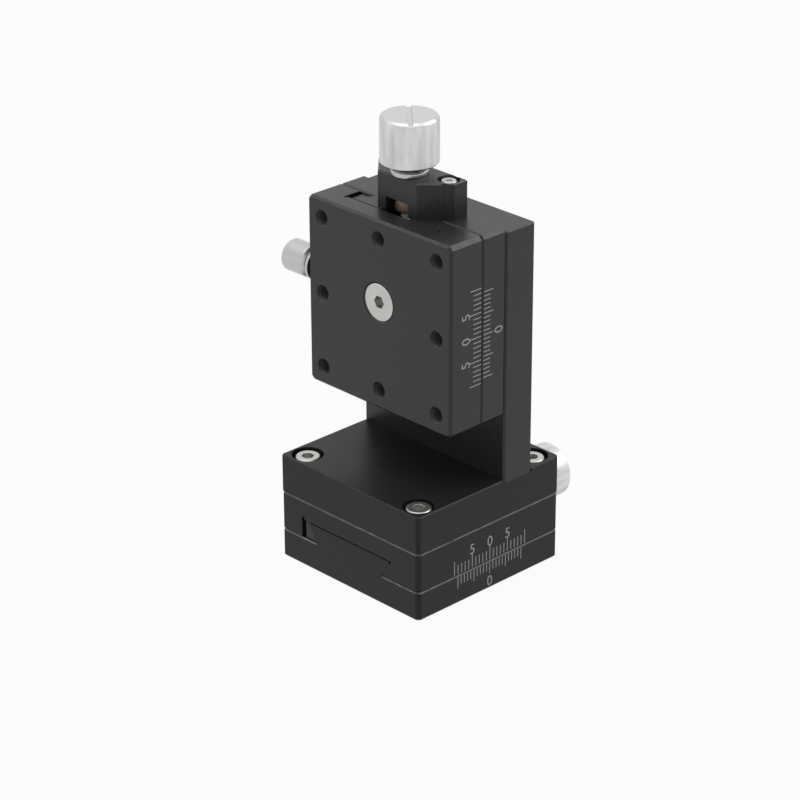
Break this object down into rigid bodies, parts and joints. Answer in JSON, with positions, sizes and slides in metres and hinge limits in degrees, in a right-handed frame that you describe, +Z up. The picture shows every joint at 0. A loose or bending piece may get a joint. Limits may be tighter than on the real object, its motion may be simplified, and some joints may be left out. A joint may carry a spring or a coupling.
{
  "type": "translation stage",
  "caption": "Dovetail translation stage with a lower slide and an upright slide joined by an angle bracket, each moved by a feed knob and held by a lock screw.",
  "frame": {"origin": "centre of the lower stage's underside, which lies in z = 0", "axes": "+Z up, +X towards the faces that carry the scales, +Y towards the lower stage's feed knob; the upper stage's mounting face looks along -Y"},
  "size_m": [0.0499, 0.0593, 0.0963],
  "materials": {
    "black_anodised": "satin black anodised",
    "bright_aluminium": "fine turned, clear",
    "bright_steel": "nickel plated",
    "black_steel": "black oxide",
    "brass": "turned"
  },
  "bodies": {
    "lower_base": {"y_base_plate": "black_anodised", "y_end_bracket": "black_anodised", "y_bracket_screws": "bright_steel", "y_knob_bush": "bright_steel", "y_lock_plate": "black_anodised", "y_lock_plate_screws": "black_steel"},
    "middle": {"y_carriage": "black_anodised", "y_gib": "black_steel", "y_gib_screws": "black_steel", "y_feed_nut": "brass", "y_nut_screw": "bright_steel", "foot_plate": "black_anodised", "foot_screws": "bright_steel", "upright": "black_anodised", "upright_screws": "black_steel", "z_base_screws": "black_steel", "z_base_plate": "black_anodised", "z_end_bracket": "black_anodised", "z_bracket_screws": "bright_steel", "z_knob_bush": "bright_steel", "z_lock_plate": "black_anodised", "z_lock_plate_screws": "black_steel"},
    "front_carriage": {"z_carriage": "black_anodised", "z_gib": "black_steel", "z_gib_screws": "black_steel", "z_feed_nut": "brass", "z_nut_screw": "bright_steel"},
    "lower_feed": {"y_feed_screw": "bright_steel", "y_feed_knob": "bright_aluminium", "y_thrust_collar": "brass"},
    "upper_feed": {"z_feed_screw": "bright_steel", "z_feed_knob": "bright_aluminium", "z_thrust_collar": "brass"},
    "lower_lock": {"y_lock_screw": "bright_aluminium"},
    "upper_lock": {"z_lock_screw": "bright_aluminium"}
  },
  "joints": [
    {"name": "y_slide", "type": "slide", "parent": "lower_base", "child": "middle", "axis": [0, 1, 0], "range_m": [-0.007, 0.007]},
    {"name": "z_slide", "type": "slide", "parent": "middle", "child": "front_carriage", "axis": [0, 0, 1], "range_m": [-0.007, 0.007]},
    {"name": "y_feed", "type": "hinge", "parent": "lower_base", "child": "lower_feed", "pos_m": [0, 0.02, 0.0064], "axis": [0, 1, 0], "range_deg": [-5040, 5040]},
    {"name": "z_feed", "type": "hinge", "parent": "middle", "child": "upper_feed", "pos_m": [0, -0.0027, 0.077], "axis": [0, 0, 1], "range_deg": [-5040, 5040]},
    {"name": "y_lock", "type": "hinge", "parent": "middle", "child": "lower_lock", "pos_m": [-0.02, 0.0032, 0.01065], "axis": [-1, 0, 0], "range_deg": [-72, 288]},
    {"name": "z_lock", "type": "hinge", "parent": "front_carriage", "child": "upper_lock", "pos_m": [-0.02, -0.00695, 0.0602], "axis": [-1, 0, 0], "range_deg": [-72, 288]}
  ],
  "couplings": [
    {"joint": "y_feed", "follows": "y_slide", "rad_per_m": -12566},
    {"joint": "z_feed", "follows": "z_slide", "rad_per_m": -12566}
  ]
}
